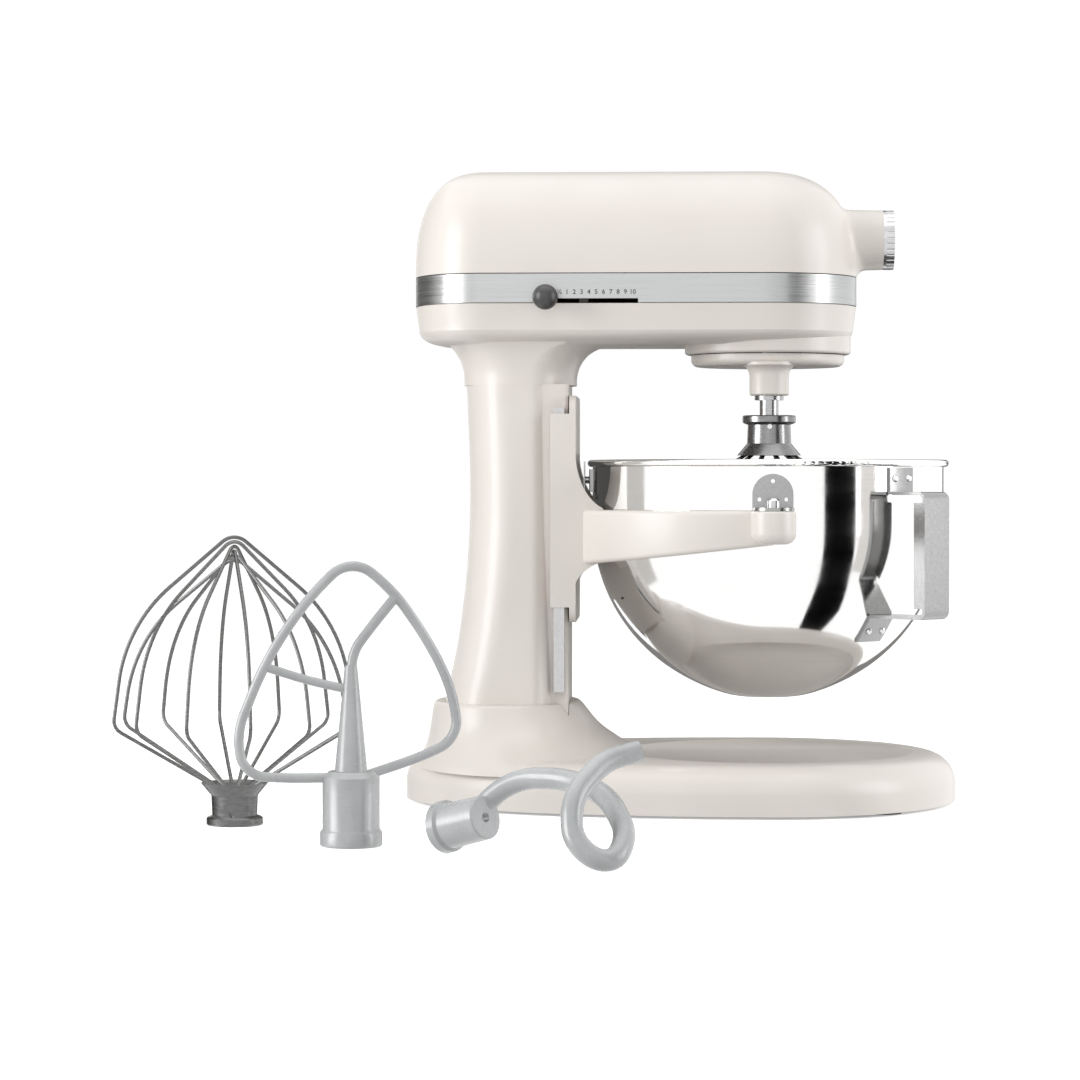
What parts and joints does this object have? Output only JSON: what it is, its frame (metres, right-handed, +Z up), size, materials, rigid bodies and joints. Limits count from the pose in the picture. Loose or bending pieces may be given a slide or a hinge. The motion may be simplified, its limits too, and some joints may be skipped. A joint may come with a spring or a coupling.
{
  "type": "stand mixer",
  "caption": "Bowl-lift stand mixer with steel bowl, wire whisk, geared planetary drive, speed lever, lift lever, spare whisk, flat beater and dough hook.",
  "frame": {"origin": "on the bowl's axis, which is the planetary axis, at the level of the table under the feet", "axes": "+X towards the mixer's front, where the attachment hub is; +Y to the mixer's left; +Z up"},
  "size_m": [0.5343, 0.5794, 0.42],
  "materials": {
    "enamel": "satin off-white enamel on die-cast metal",
    "brushed_band": "brushed along its length",
    "satin_aluminium": "satin cast and machined",
    "chrome": "bright plated",
    "polished_steel": "polished stainless steel",
    "rivet_steel": "plain steel",
    "shaft_steel": "ground steel",
    "gear_steel": "cut and hardened steel",
    "bronze": "bearing bronze",
    "whisk_steel": "drawn stainless wire and turned ferrule",
    "lamination": "stacked laminations with copper windings",
    "black_plastic": "moulded, slightly glossy",
    "lever_metal": "blackened steel strip",
    "circuit_board": "glass-fibre board",
    "coated_metal": "smooth white coating on cast metal",
    "foot_rubber": "matt black rubber"
  },
  "bodies": {
    "frame": {"base": "enamel", "base_plate": "black_plastic", "rubber_feet": "foot_rubber", "column": "enamel", "guide_rails": "satin_aluminium", "lower_housing": "enamel", "trim_band": "brushed_band", "head_cover": "enamel", "hub_sleeve": "satin_aluminium", "ring_gear": "gear_steel", "gear_bracket": "satin_aluminium", "shaft_bushes": "bronze", "motor_stator": "lamination", "motor_bearings": "bronze", "brush_holders": "black_plastic", "control_board": "circuit_board", "cord_gland": "black_plastic", "lever_bush": "bronze"},
    "planetary": {"planetary_dish": "enamel", "centre_shaft": "shaft_steel", "centre_gear": "gear_steel", "shaft_bevel": "gear_steel", "beater_bushes": "bronze"},
    "beater_drive": {"beater_shaft": "shaft_steel", "beater_pinion": "gear_steel", "drive_pin": "rivet_steel", "shaft_collar": "shaft_steel", "whisk_ferrule": "whisk_steel", "whisk_wires": "whisk_steel"},
    "wheel_train": {"wheel_shaft": "shaft_steel", "wheel_pinion": "gear_steel", "worm_wheel": "bronze"},
    "rotor": {"motor_shaft": "shaft_steel", "worm": "gear_steel", "armature": "lamination", "commutator": "bronze", "cooling_fan": "black_plastic"},
    "hub_drive": {"hub_bevel": "gear_steel", "hub_spindle": "shaft_steel"},
    "hub_cap": {"hub_cap": "chrome"},
    "attachment_knob": {"attachment_knob": "black_plastic"},
    "speed_control": {"speed_lever": "lever_metal", "speed_knob": "black_plastic"},
    "carriage": {"bowl_support": "enamel", "locating_pins": "chrome", "bowl": "polished_steel", "bowl_side_brackets": "polished_steel", "bowl_rear_bracket": "polished_steel", "bowl_handle": "polished_steel", "bowl_rivets": "rivet_steel"},
    "latch": {"latch_spring": "rivet_steel"},
    "lift_lever": {"lift_shaft": "shaft_steel", "lift_handle": "shaft_steel", "lift_grip": "black_plastic"},
    "spare_whisk": {"spare_whisk_ferrule": "whisk_steel", "spare_whisk_wires": "whisk_steel"},
    "flat_beater": {"flat_beater": "coated_metal"},
    "dough_hook": {"dough_hook": "coated_metal"}
  },
  "joints": [
    {"name": "planetary_spin", "type": "hinge", "parent": "frame", "child": "planetary", "pos_m": [0, 0, 0.29], "axis": [0, 0, 1], "continuous": true},
    {"name": "beater_spin", "type": "hinge", "parent": "planetary", "child": "beater_drive", "pos_m": [0, -0.036, 0.27], "axis": [0, 0, 1], "continuous": true},
    {"name": "wheel_spin", "type": "hinge", "parent": "frame", "child": "wheel_train", "pos_m": [-0.03164, 0.032, 0.34], "axis": [0, 0, 1], "continuous": true},
    {"name": "rotor_spin", "type": "hinge", "parent": "frame", "child": "rotor", "pos_m": [-0.1, 0, 0.359], "axis": [1, 0, 0], "continuous": true},
    {"name": "hub_spin", "type": "hinge", "parent": "frame", "child": "hub_drive", "pos_m": [0.04, 0, 0.3745], "axis": [1, 0, 0], "continuous": true},
    {"name": "hub_cap_pull", "type": "slide", "parent": "frame", "child": "hub_cap", "axis": [1, 0, 0], "range_m": [0, 0.06]},
    {"name": "attachment_knob_turn", "type": "hinge", "parent": "frame", "child": "attachment_knob", "pos_m": [0.068, 0.03, 0.3745], "axis": [0, 1, 0], "continuous": true},
    {"name": "speed_slide", "type": "slide", "parent": "frame", "child": "speed_control", "axis": [1, 0, 0], "range_m": [0, 0.05]},
    {"name": "bowl_lift", "type": "slide", "parent": "frame", "child": "carriage", "axis": [0, 0, 1], "range_m": [-0.045, 0]},
    {"name": "lift_lever_turn", "type": "hinge", "parent": "frame", "child": "lift_lever", "pos_m": [-0.157, 0.03, 0.15], "axis": [0, -1, 0], "range_deg": [0, 90]},
    {"name": "latch_flex", "type": "hinge", "parent": "carriage", "child": "latch", "pos_m": [-0.12545, 0, 0.2028], "axis": [0, 1, 0], "range_deg": [-8, 0], "stiffness_Nm_per_rad": 0.6},
    {"name": "spare_whisk_lift", "type": "slide", "parent": "frame", "child": "spare_whisk", "axis": [0, 0, 1], "range_m": [0, 0.12]},
    {"name": "flat_beater_lift", "type": "slide", "parent": "frame", "child": "flat_beater", "axis": [0, 0, 1], "range_m": [0, 0.12]},
    {"name": "dough_hook_lift", "type": "slide", "parent": "frame", "child": "dough_hook", "axis": [0, 0, 1], "range_m": [0, 0.12]}
  ],
  "couplings": [
    {"joint": "beater_spin", "follows": "planetary_spin", "ratio": -4.4286},
    {"joint": "wheel_spin", "follows": "planetary_spin", "ratio": -2.75},
    {"joint": "rotor_spin", "follows": "planetary_spin", "ratio": 41.25},
    {"joint": "hub_spin", "follows": "planetary_spin", "ratio": 1.25},
    {"joint": "lift_lever_turn", "follows": "bowl_lift", "rad_per_m": -34.907}
  ]
}
